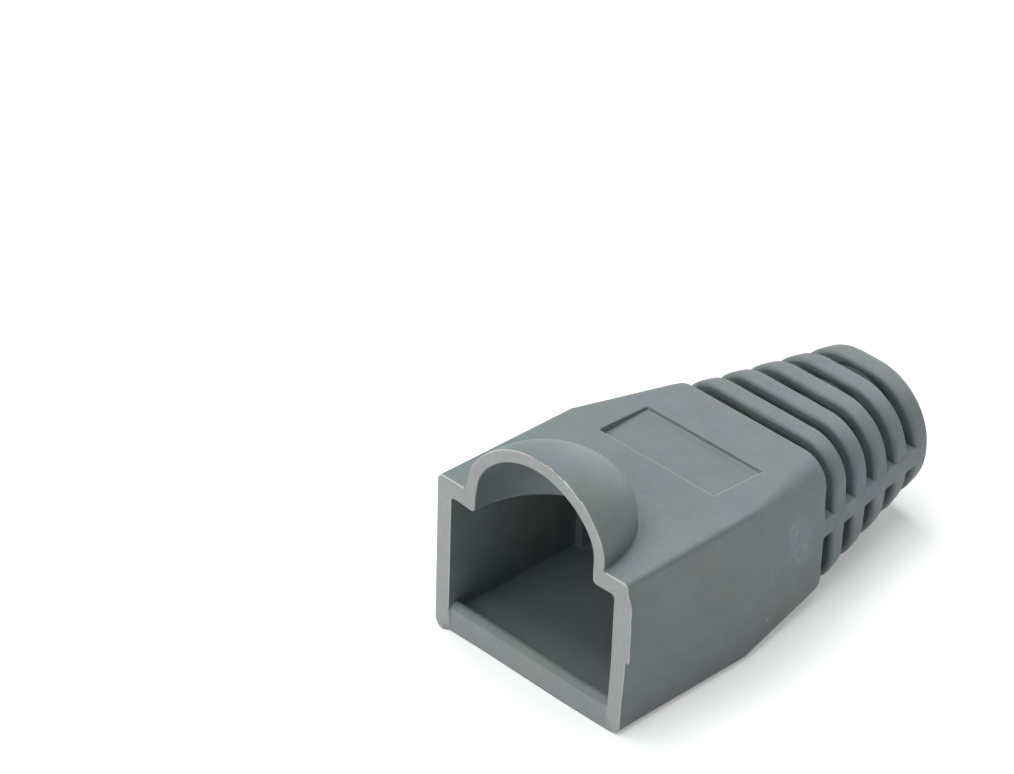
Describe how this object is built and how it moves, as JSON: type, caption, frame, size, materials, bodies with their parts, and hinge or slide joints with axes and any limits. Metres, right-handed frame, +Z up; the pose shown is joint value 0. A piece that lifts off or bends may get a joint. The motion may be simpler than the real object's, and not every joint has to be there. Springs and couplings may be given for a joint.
{
  "type": "rj45 strain relief boot",
  "caption": "Soft grey boot for a modular network plug: open plug socket with a domed latch cover, tapering to a ribbed tail with a round cable hole.",
  "frame": {"origin": "middle of the overall box, on the level of the flat underside", "axes": "+Y along the boot from the open mouth to the cable end, +Z up through the latch cover, +X across"},
  "size_m": [0.0138, 0.0272, 0.0143],
  "materials": {
    "boot": "matte"
  },
  "bodies": {
    "root": {"boot": "boot"}
  },
  "joints": []
}
